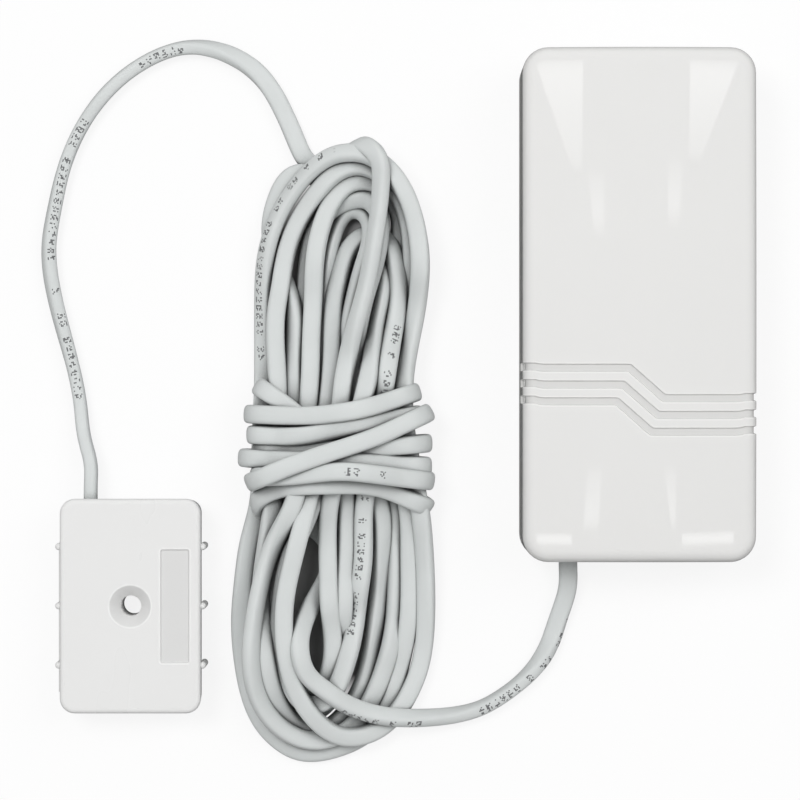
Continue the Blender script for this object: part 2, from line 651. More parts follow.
# The turns press the strands flat about the waist
WAIST_Y_MM = -31.0
WAIST_HALF_MM = 18.0
# Both leads roll towards their edge: degrees; from and to where along the cord the transmitter's lead rolls
# over and back; and the same for the probe's lead, which stays rolled, as distances from the far end
LEAD_ROLL = 76.0
LEAD_ROLL_MM = (14.0, 42.0, 96.0, 128.0)
PROBE_LEAD_ROLL_MM = (138.0, 110.0)
# Length over which the cord turns on edge before the probe, and the length that stays so
EDGE_TURN_MM = 45.0
EDGE_STAY_MM = 12.0
# Marks: reach of the search for a marked stretch's ends, size of a cell, cells in a group, groups in a
# stretch, bare cells of a group, shares of cells, groups and stretches that show, half width, and ink
MARK_REACH_MM = 0.8
MARK_CELL_MM = 0.3
MARK_GROUP = 6.0
MARK_STRETCH = 7.0
MARK_GAP = 1.5
MARK_FILL = 0.42
MARK_GROUPS_SHOWN = 0.75
MARK_STRETCHES_SHOWN = 0.85
MARK_HALF_MM = 0.85
MARK_INK = 0.85
# Stretches with marks: both leads, the outer left strand, one on the right, and part of a turn
MARKED_MM = [
    ((-15.8, -66), (-63, -84)), ((-76.9, 45.2), (-119, -21)), ((-64.3, 32.3), (-79.6, -15.7)),
    ((-60.4, -71.2), (-50.6, 5.6)), ((-61.9, -35), (-49.6, -36.5)),
]
# Jacket: stretch of the die's lines along and across it, their depth, strength, share and shade, and scale
# and shade of its mottling
DIE_STRETCH = (0.03, 3.0)
DIE_DEEP_MM = 0.02
DIE_STRENGTH = 0.6
DIE_SHARE = 0.5
DIE_SHADE = 0.96
MOTTLE_SCALE = 0.09
MOTTLE_SHADE = 0.93
JACKET_ROUGHNESS = (0.4, 0.52)
# Grime in the hollows between the strands: how far a strand is felt, range of openness, darkest shade
HOLLOW_REACH_MM = 5.0
HOLLOW_OPEN = (0.2, 0.79)
HOLLOW_SHADE = 0.1


def cord_frames(u, v):
    """Middle line of the cord every millimetre, its distances, and the directions of flat side and edge.

    The section's points are u across and v through the flat side. All lengths are in millimetres.
    """
    lines = cord_path()
    s = along_line(lines[0])
    even = np.linspace(0, s[-1], int(round(s[-1] / SAMPLE_MM)) + 1)
    path, guide = (np.stack([np.interp(even, s, column) for column in line.T], 1) for line in lines)
    path = bell(path, PATH_EVEN_MM / SAMPLE_MM)
    s = along_line(path)
    along = unit(np.gradient(path, axis=0))
    flat = unit(guide - (guide * along).sum(1)[:, None] * along)
    edge = np.cross(along, flat)
    above = smooth((path[:, 1] - TOP_FREE_MM[0]) / TOP_FREE_MM[1])
    free = np.clip(above + smooth((path[:, 0] - RIGHT_FREE_MM[0]) / RIGHT_FREE_MM[1]), 0, 1)
    waves = sum(share * np.sin(s / length + start) for share, length, start in TWIST_WAVES)
    waist = np.exp(-(((path[:, 1] - WAIST_Y_MM) / WAIST_HALF_MM) ** 4))
    loose = HANK_TWIST + (LEAD_TWIST - HANK_TWIST) * np.maximum(free, waist)
    begins, full, back, ends = LEAD_ROLL_MM
    near = smooth((s - begins) / (full - begins)) * (1 - smooth((s - back) / (ends - back)))
    left = s[-1] - s
    far_begins, far_full = PROBE_LEAD_ROLL_MM
    far = smooth((far_begins - left) / (far_begins - far_full))
    roll = np.radians(loose) * waves + math.radians(LEAD_ROLL) * (near + far)
    # On edge where it goes into the probe, and flat where it leaves the transmitter
    roll = roll + (np.pi / 2 - roll) * smooth((EDGE_TURN_MM + EDGE_STAY_MM - left) / EDGE_TURN_MM)
    roll = roll * smooth(s / full)
    turned = flat * np.cos(roll)[:, None] + edge * np.sin(roll)[:, None]
    side = np.cross(along, turned)
    # A rolled section is taller than a flat one, so its middle lies higher over the table
    half = np.abs(side[:, 2:] * u + turned[:, 2:] * v).max(1)
    path[:, 2] = np.maximum(path[:, 2], half)
    return path, s, turned, side


def printed(s, path):
    """1 on the stretches of the cord that show marks, else 0; each runs between two points of the route."""
    shown = np.zeros(len(s))
    for ends in MARKED_MM:
        near = [np.nonzero(np.hypot(*(path[:, :2] - end).T) < MARK_REACH_MM)[0] for end in np.array(ends)]
        between = np.abs(near[0][:, None] - near[1][None, :])
        i, j = np.unravel_index(np.argmin(between), between.shape)
        first, last = sorted((near[0][i], near[1][j]))
        shown[first:last] = 1
    return shown


def build_cord(looks):
    """The flat-oval jacket: a superellipse carried along the middle line, closed by flat ends."""
    width = looks.cord_width
    a = np.arange(SECTION_POINTS) * 2 * np.pi / SECTION_POINTS
    power = 2 / SECTION_POWER
    u = np.sign(np.cos(a)) * np.abs(np.cos(a)) ** power * width / 2
    v = np.sign(np.sin(a)) * np.abs(np.sin(a)) ** power * looks.cord_thickness / 2
    path, s, flat, edge = cord_frames(u / MM, v / MM)
    path = path * MM
    points = path[:, None] + edge[:, None] * u[None, :, None] + flat[:, None] * v[None, :, None]
    rows = len(path)
    ring = np.arange(SECTION_POINTS)
    ends = [ring[::-1], (rows - 1) * SECTION_POINTS + ring]
    faces = [*grid_faces(rows, SECTION_POINTS, closed=True), *ends]
    # Print shows on the side that is turned up, on some stretches: the narrow one on both leads
    narrow = ((s < LEAD_ROLL_MM[2]) | (s > s[-1] - PROBE_LEAD_ROLL_MM[0]))[:, None]
    facing = np.where(narrow, edge[:, 2:] * np.sign(u), flat[:, 2:] * np.sign(v))
    attributes = {
        "along": np.repeat(s, SECTION_POINTS),
        "across": np.where(narrow, v, u).ravel() / MM,
        "print": ((facing > 0) * printed(s, path / MM)[:, None]).ravel(),
    }
    obj = add_mesh("cord", points.reshape(-1, 3), faces, attributes)
    give(obj, cord_material(looks))
    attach(obj, "base")
    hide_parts("cord_transmitter_lead", "cord_wrap", "cord_hank", "cord_probe_lead")


def cord_material(looks):
    """Soft extruded vinyl: lines along it from the die, slow mottling, and rows of dark dots as marks."""
    n = Nodes("Cord jacket")
    colour = looks.cord_colour
    along = n.attribute("along")
    across = n.attribute("across")
    ways = [n.maths("MULTIPLY", way, stretch) for way, stretch in zip((along, across), DIE_STRETCH)]
    die = n.node("ShaderNodeCombineXYZ", dict(enumerate(ways)))
    lines = n.noise(die.outputs[0], 1.0, detail=2.0)
    mottle = n.noise(n.place(), MOTTLE_SCALE)
    tone = n.blend(n.fit(mottle, 0, 1), colour, shade(colour, MOTTLE_SHADE))
    tone = n.blend(n.fit(lines, 0, DIE_SHARE), tone, shade(colour, DIE_SHADE))
    hollow = n.fit(n.openness(HOLLOW_REACH_MM), 0, 1, *HOLLOW_OPEN)
    tone = n.blend(hollow, shade(colour, HOLLOW_SHADE), tone)

    def likely(share, place):
        """1 for a share of all places, else 0, by chance; a place has its numbers by axis."""
        return n.maths("LESS_THAN", n.chance(n.node("ShaderNodeCombineXYZ", place).outputs[0]), share)

    # Marks: small cells, each inked or not, in short groups with bare gaps and longer bare stretches
    column = n.cell(along, MARK_CELL_MM)
    group = n.cell(column, MARK_GROUP)
    inked = likely(MARK_FILL, {0: column, 1: n.cell(across, MARK_CELL_MM)})
    shown = likely(MARK_GROUPS_SHOWN, {2: group})
    worn = likely(MARK_STRETCHES_SHOWN, {1: n.cell(group, MARK_STRETCH)})
    gap = n.maths("GREATER_THAN", n.maths("FLOORED_MODULO", column, MARK_GROUP), MARK_GAP)
    band = n.maths("LESS_THAN", n.maths("ABSOLUTE", across), MARK_HALF_MM)
    ink = n.both(inked, shown, worn, gap, band, n.attribute("print"), MARK_INK)
    n.set(base_color=n.blend(ink, tone, looks.ink_colour))
    n.set(roughness=n.fit(mottle, *JACKET_ROUGHNESS))
    n.bump(lines, DIE_DEEP_MM, DIE_STRENGTH)
    return n.material


# Front cover


CASE_MM = (49.0, 108.0, 24.0)
CORNER_MM = 5.4
ROLL_MM = 2.6
CROWN_MM = (1.2, 1.0)
WALL_MM = 1.8
INNER_ROLL_MM = 1.2
GROOVE_Y_MM = -19.65
GROOVE_PITCH_MM = 3.45
GROOVE_FALL_MM = 6.35
GROOVE_RUN_MM = 7.2
GROOVE_DEEP_MM = 0.55
GROOVE_HALF_MM = 0.75
GROOVE_END_MM = 9.2
GROOVE_END_SOFT_MM = 0.6
WALL_LEVELS_MM = (18.5, 16.5, 14.5, 12.5, 11, 9.8, 9.65, 9.5, 9.35, 9.2, 7.5, 5.2)
# Rounding of a groove's flanks and width of its worn lip; how softly its bends turn, as a share of the
# slanted run; and the pitches from the middle groove between which the grid stops stepping with it
LIP_MM = 0.3
LIP_WIDE_MM = 0.2
BEND_SOFT = 0.025
GROOVE_FADE = (2.2, 8.0)
CORNER_STEPS = 5
ROLL_STEPS = 9
LEAST_CORNER_MM = 0.2
# Lines of the face's grid: their distances from a groove's middle line, their numbers below and above the
# grooves, the x between which the grooves bend with the lines there, and those beside and in the middle
FLANK_MM = (0.3, 0.5, 0.58, 0.62, 0.66, 0.7, 0.74, 0.78, 0.82, 0.86, 0.9, 1.0, 1.2)
BELOW_LINES = 16
ABOVE_LINES = 36
BEND_X_MM = (1.6, 6.4)
BEND_LINES = 21
SIDE_LINES = 12
MIDDLE_X_MM = 0.8
# Post over the tamper plunger and its gap; ribs under the roof with their width, length, depth and places
POST_R_MM = 2.2
POST_GAP_MM = 0.3
POST_POINTS = 32
ROOF_RIB_MM = (32.0, 1.2, 2.0)
ROOF_RIB_TOP_MM = 0.2
ROOF_RIBS_AT_MM = (-29.0, 29.0)


def crown(x, y):
    """Height of the pillow-shaped face: it falls with the squares of x and y as shares of half its size."""
    return CASE_MM[2] - CROWN_MM[0] * (2 * x / CASE_MM[0]) ** 2 - CROWN_MM[1] * (2 * y / CASE_MM[1]) ** 2


def groove_depth(away):
    """Depth at a distance from a groove's middle line: flat floor, steep flank, wide rounded lip."""
    floor_half = GROOVE_HALF_MM - LIP_MM / 2
    share = np.clip((np.abs(away) - floor_half) / LIP_MM, 0, 1)
    return GROOVE_DEEP_MM * (1 - share) ** 2 * (1 + 2 * share)


def cover_lines():
    """Lines of the face's grid: y along a side's middle, and x, both without the corners' arcs."""
    flank = np.array(FLANK_MM)
    one = np.concatenate([-flank[::-1], [0], flank])
    grooved = np.concatenate([GROOVE_Y_MM + i * GROOVE_PITCH_MM + one for i in (-1, 0, 1)])
    end = CASE_MM[1] / 2 - CORNER_MM
    below = np.linspace(-end, grooved[0], BELOW_LINES)[:-1]
    above = np.linspace(grooved[-1], end, ABOVE_LINES)[1:]
    side = CASE_MM[0] / 2 - CORNER_MM
    near, far = BEND_X_MM
    bends = np.concatenate([np.linspace(near, far, BEND_LINES), np.linspace(far, side, SIDE_LINES)[1:]])
    across = np.concatenate([-bends[::-1], [-MIDDLE_X_MM, 0, MIDDLE_X_MM], bends])
    return np.concatenate([below, grooved, above]), across


def cover_skin(inset, roll, drop, grooved):
    """One skin of the cover as a grid for its face and rings down to its foot, in millimetres.

    The outline is a rounded rectangle. The face's grid runs from side to side; a row near the grooves steps
    down with them. From the face's border, at every point, a quarter round of the given radius leads to the
    wall, which goes straight down. Grooves press the skin in along its normal.
    """
    rows, columns = cover_lines()
    half = np.array(CASE_MM[:2]) / 2 - inset - roll
    radius = max(CORNER_MM - inset - roll, LEAST_CORNER_MM)
    straight = half - radius
    arc = np.linspace(np.pi / 4, 0, CORNER_STEPS)[:-1]

    def border(lines, along, over):
        """Positions along one side, its own offset outward, and the normal's two shares."""
        scaled = lines * straight[along] / np.abs(lines).max()
        ends = straight[along] + radius * np.sin(arc)
        a = np.concatenate([-ends, scaled, ends[::-1]])
        turn_in = np.concatenate([arc, 0 * lines, arc[::-1]])
        b = straight[over] + radius * np.cos(turn_in)
        return a, b, np.concatenate([-np.sin(arc), 0 * lines, np.sin(arc)[::-1]]), np.cos(turn_in)

    y_side, x_side, side_ny, side_nx = border(rows, 1, 0)
    x_end, y_end, end_nx, end_ny = border(columns, 0, 1)
    x = x_end[None, :] * x_side[:, None] / x_side[0]
    y = y_side[:, None] * y_end[None, :] / y_end[0]
    place = (y_side - GROOVE_Y_MM) / GROOVE_PITCH_MM
    near = 1 - smooth((np.abs(place) - GROOVE_FADE[0]) / (GROOVE_FADE[1] - GROOVE_FADE[0]))
    lean = math.tan(math.atan2(GROOVE_FALL_MM, GROOVE_RUN_MM) / 2)
    bend = np.clip(place, -GROOVE_FADE[0], GROOVE_FADE[0]) * GROOVE_PITCH_MM * lean
    q = (x - bend[:, None]) / GROOVE_RUN_MM + 0.5
    share = 0.5 * (1 + np.sqrt(q**2 + BEND_SOFT**2) - np.sqrt((q - 1) ** 2 + BEND_SOFT**2))
    y = y + (0.5 - share) * GROOVE_FALL_MM * near[:, None]
    away = np.abs(place - np.clip(np.round(place), -1, 1)) * GROOVE_PITCH_MM
    deep = groove_depth(away) if grooved else 0 * away
    shoulder = np.exp(-(((away - GROOVE_HALF_MM - LIP_MM / 2) / LIP_WIDE_MM) ** 2))
    lip = shoulder * (1 - deep / GROOVE_DEEP_MM) * grooved
    face = np.stack([x, y, crown(x, y) - drop - deep[:, None]], -1)
    tones = [np.repeat(np.stack([deep / GROOVE_DEEP_MM, lip], 1), x.shape[1], axis=0)]

    # Border of the face, counter-clockwise seen from the front
    n, m = x.shape
    index = np.arange(n * m).reshape(n, m)
    loop = np.concatenate([index[0, :-1], index[:-1, -1], index[-1, :0:-1], index[:0:-1, 0]])
    normal_x = np.zeros((n, m))
    normal_y = np.zeros((n, m))
    normal_x[:, 0], normal_y[:, 0] = -side_nx, side_ny
    normal_x[:, -1], normal_y[:, -1] = side_nx, side_ny
    normal_x[0], normal_y[0] = end_nx, -end_ny
    normal_x[-1], normal_y[-1] = end_nx, end_ny
    out = unit(np.stack([normal_x.ravel()[loop], normal_y.ravel()[loop]], 1))
    foot = np.stack([x.ravel()[loop], y.ravel()[loop]], 1)
    press = (tones[0][:, 0] * GROOVE_DEEP_MM)[loop]
    top = crown(foot[:, 0], foot[:, 1]) - drop
    rings = []

    def ring(reach, z, open_share):
        rings.append(np.column_stack([foot + out * reach[:, None], z]))
        tones.append(tones[0][loop] * open_share)

    for a in np.linspace(np.pi / 2, 0, ROLL_STEPS)[1:]:
        ring((roll - press) * math.cos(a), top - roll * (1 - math.sin(a)) - press * math.sin(a), 1)
    for level in WALL_LEVELS_MM:
        open_share = smooth((level - GROOVE_END_MM) / GROOVE_END_SOFT_MM)
        ring(roll - press * open_share, np.full(len(foot), level), open_share)
    return face, loop, rings, np.concatenate(tones)


def skin_faces(face, loop, rings, start, inward):
    """Points and faces of one skin, numbered from start; an inward skin has its faces turned over."""
    n, m = face.shape[:2]
    points = np.concatenate([face.reshape(-1, 3), *rings])
    size = len(loop)
    loops = [loop] + [n * m + k * size + np.arange(size) for k in range(len(rings))]
    faces = [grid_faces(n, m)]
    for upper, lower in zip(loops[:-1], loops[1:]):
        faces.append(np.stack([upper, lower, np.roll(lower, -1), np.roll(upper, -1)], 1))
    faces = np.concatenate(faces)
    return points, (faces[:, ::-1] if inward else faces) + start, loops[-1] + start


def prism(outline, low, high, start):
    """Upright solid over a counter-clockwise outline, in millimetres."""
    size = len(outline)
    points = np.concatenate([np.column_stack([outline, np.full(size, z)]) for z in (low, high)])
    i = np.arange(size)
    j = (i + 1) % size
    sides = np.stack([i, j, j + size, i + size], 1) + start
    caps = [tuple(start + i[::-1]), tuple(start + size + i)]
    return points, [tuple(f) for f in sides] + caps


def circle(x, y, radius, count):
    a = np.arange(count) * 2 * np.pi / count
    return np.column_stack([x + radius * np.cos(a), y + radius * np.sin(a)])


def oblong(x, y, width, length):
    return np.array([(x - width / 2, y - length / 2), (x + width / 2, y - length / 2),
                     (x + width / 2, y + length / 2), (x - width / 2, y + length / 2)])


def build_front_cover(looks):
    """Both skins of the crowned cover, joined by its rim, the post over the plunger and two roof ribs."""
    *skin, tones = cover_skin(0, ROLL_MM, 0, True)
    outer, faces, foot = skin_faces(*skin, 0, False)
    *skin, inner_tones = cover_skin(WALL_MM, INNER_ROLL_MM, WALL_MM, False)
    inner, more, inner_foot = skin_faces(*skin, len(outer), True)
    rim = np.stack([foot, inner_foot, np.roll(inner_foot, -1), np.roll(foot, -1)], 1)
    points = [outer, inner]
    faces = [tuple(f) for f in np.concatenate([faces, more, rim])]
    plunger_low, plunger_high = (np.array(corner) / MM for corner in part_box("tamper_plunger"))
    post_x, post_y = (plunger_low + plunger_high)[:2] / 2
    roof = CASE_MM[2] - WALL_MM
    post = circle(post_x, post_y, POST_R_MM, POST_POINTS)
    solids = [(post, plunger_high[2] + POST_GAP_MM, roof)]
    for y in ROOF_RIBS_AT_MM:
        solids.append((oblong(0, y, *ROOF_RIB_MM[:2]), roof - ROOF_RIB_MM[2], roof - ROOF_RIB_TOP_MM))
    for outline, low, high in solids:
        count = sum(len(p) for p in points)
        made, sides = prism(outline, low, high, count)
        points.append(made)
        faces += sides
    points = np.concatenate(points)
    tones = np.concatenate([tones, inner_tones])
    tones = np.concatenate([tones, np.zeros((len(points) - len(tones), 2))])
    obj = add_mesh("front_cover_shell", points * MM, faces, {"dark": tones[:, 0], "bright": tones[:, 1]})
    gloss = polished("Housing gloss", looks.housing_colour, looks.housing_roughness, grain_mm=0.9,
                     grain=0.0001, uneven=0.012, dust=0.14)
    give(obj, gloss.material)
    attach(obj, "front")
    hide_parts("front_cover")


# Probe housing


PROBE_AT_MM = (-107.5, -63.8, 0)
PROBE_MM = (30.0, 45.6, 12.0)
PROBE_CORNER_MM = 3.2
PROBE_LEAST_CORNER_MM = 0.4
PROBE_ROLL_MM = 1.0
PROBE_LEAN_MM = 0.5
PROBE_WALL_MM = 1.6
PROBE_LEDGE_MM = 0.8
PROBE_LEDGE_Z_MM = 2.4
PROBE_ROOF_MM = 2.0
EDGE_MM = 0.2
BORE_R_MM = 2.2
SINK_R_MM = 4.35
BOSS_R_MM = 3.8
LABEL_X_MM = 9.5
LABEL_MM = (6.0, 24.0)
LABEL_CORNER_MM = 0.4
LABEL_DEEP_MM = 0.4
BEAD_MM = 0.06
RIB_R_MM = 0.75
RIB_X_MM = 15.3
RIB_PITCH_MM = 12.6
RIB_Z_MM = (2.5, 11.0)
ARC_STEPS = 8
ROUND_POINTS = 64
RIB_POINTS = 20
# The domed top of a rib ends a little before its middle
DOME_ANGLE = 1.45
DOME_STEPS = 6


def rounded_ring(x, width, length, corner, z):
    """Rounded oblong about (x, 0), counter-clockwise from the middle of its right side."""
    quarter = np.linspace(0, np.pi / 2, ARC_STEPS)
    arcs = []
    for k, (east, north) in enumerate(((1, 1), (-1, 1), (-1, -1), (1, -1))):
        a = quarter + k * np.pi / 2
        arcs.append(np.column_stack([east * (width / 2 - corner) + corner * np.cos(a),
                                     north * (length / 2 - corner) + corner * np.sin(a)]))
    xy = np.concatenate([[(width / 2, 0)], *arcs[:2], [(-width / 2, 0)], *arcs[2:]])
    return np.column_stack([xy + (x, 0), np.full(len(xy), z)])


def round_ring(x, y, radius, z, count):
    return np.column_stack([circle(x, y, radius, count), np.full(count, z)])


def build_probe_housing(looks):
    """Block with a rolled edge, ribbed sides, a countersunk bore in a boss and a bare label recess.

    The outer skin is a rounded oblong whose inset and height follow a profile: face border, quarter round,
    leaning wall, rim, seat of the base and roof. The bore and the recess are profiles of their own.
    """
    width, length, top = PROBE_MM
    roll = [(PROBE_ROLL_MM * (1 - math.cos(a)), top - PROBE_ROLL_MM * (1 - math.sin(a)))
            for a in np.linspace(np.pi / 2, 0, ROLL_STEPS)]
    inner = PROBE_WALL_MM + PROBE_LEDGE_MM
    roof = top - PROBE_ROOF_MM
    profile = [
        (PROBE_ROLL_MM + EDGE_MM, top), *roll, (PROBE_LEAN_MM, EDGE_MM), (PROBE_LEAN_MM + EDGE_MM, 0),
        (PROBE_WALL_MM, 0), (PROBE_WALL_MM, PROBE_LEDGE_Z_MM), (inner, PROBE_LEDGE_Z_MM), (inner, roof),
    ]
    rings = [rounded_ring(0, width - 2 * inset, length - 2 * inset,
                          max(PROBE_CORNER_MM - inset, PROBE_LEAST_CORNER_MM), z) for inset, z in profile]
    solid = Solid()
    skin = solid.skin(rings)

    # Bead, countersink, bore, and the boss up to the roof: radius, height, dark and bright
    seat = top - (SINK_R_MM - BORE_R_MM)
    bore = np.array([
        (SINK_R_MM + 0.6, top, 0, 0), (SINK_R_MM + 0.45, top, 0, 0),
        (SINK_R_MM + 0.22, top + BEAD_MM, 0, 1),
        (SINK_R_MM + 0.04, top - 0.02, 0.15, 0), (SINK_R_MM - 0.08, top - 0.1, 0.45, 0),
        (BORE_R_MM + 0.15, seat + 0.17, 0.45, 0), (BORE_R_MM, seat - 0.1, 0, 1), (BORE_R_MM, EDGE_MM, 0, 1),
        (BORE_R_MM + EDGE_MM, 0, 0, 0), (BOSS_R_MM - EDGE_MM, 0, 0, 0), (BOSS_R_MM, EDGE_MM, 0, 0),
        (BOSS_R_MM, roof, 0, 0),
    ])
    rings = [round_ring(0, 0, r, z, ROUND_POINTS) for r, z, _, _ in bore]
    hole = solid.skin(rings, bore[:, 2], bore[:, 3])

    # Bead, rounded lip and floor of the recess: inset, height, dark and bright
    low = top - LABEL_DEEP_MM
    recess = np.array([
        (-0.6, top, 0, 0), (-0.48, top, 0, 0), (-0.28, top + BEAD_MM, 0, 1), (-0.1, top, 0, 0.4),
        (0, top - 0.1, 0.5, 0), (0.03, low + 0.1, 0.6, 0), (0.14, low, 0.58, 0), (0.3, low, 0.52, 0),
        (0.5, low, 0.52, 0),
    ])
    rings = [rounded_ring(LABEL_X_MM, LABEL_MM[0] - 2 * inset, LABEL_MM[1] - 2 * inset,
                          max(LABEL_CORNER_MM - inset, EDGE_MM / 2), z) for inset, z, _, _ in recess]
    label = solid.skin(rings, recess[:, 2], recess[:, 3])
    solid.faces.append(label[-1])
    solid.flat(skin[0], [hole[0], label[0]])
    solid.flat(skin[-1], [hole[-1]])

    # Ribs: round bars with domed tops, half sunk in the side walls
    bar = [(RIB_R_MM, RIB_Z_MM[0])]
    for a in np.linspace(0, DOME_ANGLE, DOME_STEPS):
        bar.append((RIB_R_MM * math.cos(a), RIB_Z_MM[1] - RIB_R_MM * (1 - math.sin(a))))
    for x in (-RIB_X_MM, RIB_X_MM):
        for y in (-RIB_PITCH_MM, 0, RIB_PITCH_MM):
            solid.skin([round_ring(x, y, r, z, RIB_POINTS) for r, z in bar], capped=True)
    obj = solid.add("probe_block", PROBE_AT_MM)
    plastic = polished("Probe plastic", looks.probe_colour, roughness=0.3, grain_mm=0.6, grain=0.002,
                       uneven=0.02, dust=0.24)
    give(obj, plastic.material)
    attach(obj, "base")
    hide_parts("probe_housing")


# Core wires


CORE_R_MM = 0.6
STRAND_R_MM = 0.36
STRIPPED_MM = 2.2
CORE_STEP_MM = 0.4
CORE_POINTS = 14
SECOND_CORE = (0.02, 0.02, 0.022)
COPPER = (0.72, 0.43, 0.2)
# In the transmitter: y of a core's five points, x and height of the cord's end, height of the terminals,
# and half the distance of the two cores in the cord and at the terminals
TERMINAL_Y_MM = (-44.25, -43.25, -41.25, -38.5, -34.5)
CORD_END_X_MM = -14.1
CORD_END_Z_MM = 3.5
TERMINAL_Z_MM = 9.1
CORE_HALF_MM = 0.9
TERMINAL_HALF_MM = 2.5
# In the probe: the same y, x of the cord's end, height of the pads, x of each pad with the height of its
# core in the cord, and the rise between
PAD_Y_MM = (-43.8, -44.8, -47.8, -51.8, -54.8)
PROBE_END_X_MM = -116.4
PAD_Z_MM = 6.5
PADS_MM = ((-117.3, 5.1), (-112.5, 6.9))
PAD_RISE_MM = 1.0


def core_route(near, far, z_near, z_far, ys, rise=0.0):
    """Five points of a core: straight out of the jacket, across to its place, and straight on."""
    middle = ((near + far) / 2, ys[2], (z_near + z_far) / 2 + rise)
    return [(near, ys[0], z_near), (near, ys[1], z_near), middle, (far, ys[3], z_far), (far, ys[4], z_far)]


def core_pair(name, node, routes, looks):
    """Two insulated wires: round tubes on smooth curves, thinner where the last stretch is stripped."""
    solid = Solid()
    a = np.arange(CORE_POINTS) * 2 * np.pi / CORE_POINTS
    for dark, route in enumerate(routes):
        line, _ = spline(route, CORE_STEP_MM)
        along = unit(np.gradient(line, axis=0))
        side = unit(np.cross(along, UP))
        up = np.cross(side, along)
        s = along_line(line)
        bare = (s[-1] - s < STRIPPED_MM).astype(float)
        radius = CORE_R_MM + (STRAND_R_MM - CORE_R_MM) * bare
        rings = line[:, None] + radius[:, None, None] * (
            np.cos(a)[None, :, None] * side[:, None] + np.sin(a)[None, :, None] * up[:, None])
        solid.skin(rings, dark, bare, capped=True)
    obj = solid.add(name)
    n = moulded(name, looks.core_colour, roughness=0.4, grain_mm=0.4, grain=0.004, uneven=0.08)
    n.overlay(n.attribute("dark"), SECOND_CORE)
    n.overlay(n.attribute("bright"), COPPER, metallic=1.0, roughness=0.3)
    give(obj, n.material)
    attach(obj, "base")
    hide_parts(node)


def build_core_wires(looks):
    """The cores at both ends of the cord: to the terminal block and to the probe's board."""
    routes = []
    for side in (1, -1):
        ends = (CORD_END_X_MM - side * CORE_HALF_MM, CORD_END_X_MM - side * TERMINAL_HALF_MM)
        routes.append(core_route(*ends, CORD_END_Z_MM, TERMINAL_Z_MM, TERMINAL_Y_MM))
    core_pair("transmitter_core_wires", "transmitter_cores", routes, looks)
    routes = [core_route(PROBE_END_X_MM, x, z, PAD_Z_MM, PAD_Y_MM, PAD_RISE_MM) for x, z in PADS_MM]
    core_pair("probe_core_wires", "probe_cores", routes, looks)


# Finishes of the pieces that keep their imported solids


TIN = (0.66, 0.65, 0.62)
STEEL = (0.62, 0.62, 0.6)
ALUMINIUM = (0.75, 0.76, 0.77)
LAMINATE = (0.32, 0.3, 0.1)
EPOXY = (0.028, 0.028, 0.03)
EPOXY_DOT = (0.07, 0.07, 0.072)
CELL_BAND = (0.6, 0.62, 0.64)
CAPACITOR_SLEEVE = (0.03, 0.05, 0.12)
CAPACITOR_STRIPE = (0.5, 0.53, 0.56)
# Boards: tracks run one way or the other in square patches, of which some are bare; pads stand on a grid,
# and few are soldered; the mask is a thin skin on both faces
PATCH_MM = 5.0
TRACK_TURNED = 0.5
TRACK_BARE = 0.3
OTHER_PATCH = (7, 3, 0)
TRACK_PITCH_MM = 1.2
TRACK_SHARE = 0.36
TRACK_SHADE = 1.7
PAD_PITCH_MM = 2.54
PAD_R_MM = 0.5
PAD_BARE = 0.78
SKIN_MM = 0.08
# Cell: band between two distances from one end, and length of the bare ends
CELL_BAND_MM = (7.0, 4.0)
CELL_END_MM = 1.4
# Capacitor: the stripe's distance from the middle, and radius and edge of the can's bare top
STRIPE_AWAY_MM = 2.2
CAN_R_MM = 2.3
CAN_EDGE_MM = 0.1
# Chip: place and radius of its dot from its middle, and half the width of its body between the legs
DOT_AT_MM = (-1.1, 3.9)
DOT_R_MM = 0.4
CHIP_HALF_MM = 2.02
# Mouldings: name, colour, roughness, size and depth of the grain, unevenness, ageing, and their nodes
MOULDINGS = (
    ("Probe base plastic", (0.76, 0.76, 0.75), 0.55, 0.3, 0.008, 0.03, 0.0, ["probe_base"]),
    ("Terminal plastic", (0.05, 0.32, 0.16), 0.38, 0.5, 0.005, 0.1, 0.0, ["terminal_block"]),
    ("Black moulding", (0.03, 0.03, 0.032), 0.45, 0.4, 0.008, 0.15, 0.0,
     ["battery_holder", "tamper_switch"]),
    ("Plunger acetal", (0.7, 0.68, 0.6), 0.3, 0.5, 0.003, 0.05, 0.04, ["tamper_plunger"]),
    ("Clamp nylon", (0.6, 0.6, 0.58), 0.42, 0.4, 0.005, 0.05, 0.05, ["cord_clamp"]),
)
# Metals: name, colour, roughness, stretch of the brushing, tarnish, and their nodes
METALS = (
    ("Zinc plate", STEEL, 0.3, (1, 1, 1), 0.15, ["board_screws", "terminal_screws", "clamp_screws"]),
    ("Nickel plate", (0.7, 0.69, 0.66), 0.2, (1, 0.15, 0.15), 0.15,
     ["positive_contact", "negative_contact"]),
    ("Tinned can", TIN, 0.34, (0.1, 1, 1), 0.15, ["radio_can"]),
    ("Crystal can", (0.68, 0.68, 0.67), 0.24, (0.2, 1, 1), 0.15, ["timing_crystal"]),
    ("Enamelled copper", (0.72, 0.4, 0.18), 0.28, (1, 0.1, 1), 0.25, ["antenna"]),
    ("Gold plate", (0.8, 0.62, 0.28), 0.22, (1, 1, 0.2), 0.2, ["sensing_contacts"]),
)


def middle_of(node):
    """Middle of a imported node's box in millimetres."""
    return np.mean(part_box(node), axis=0) / MM


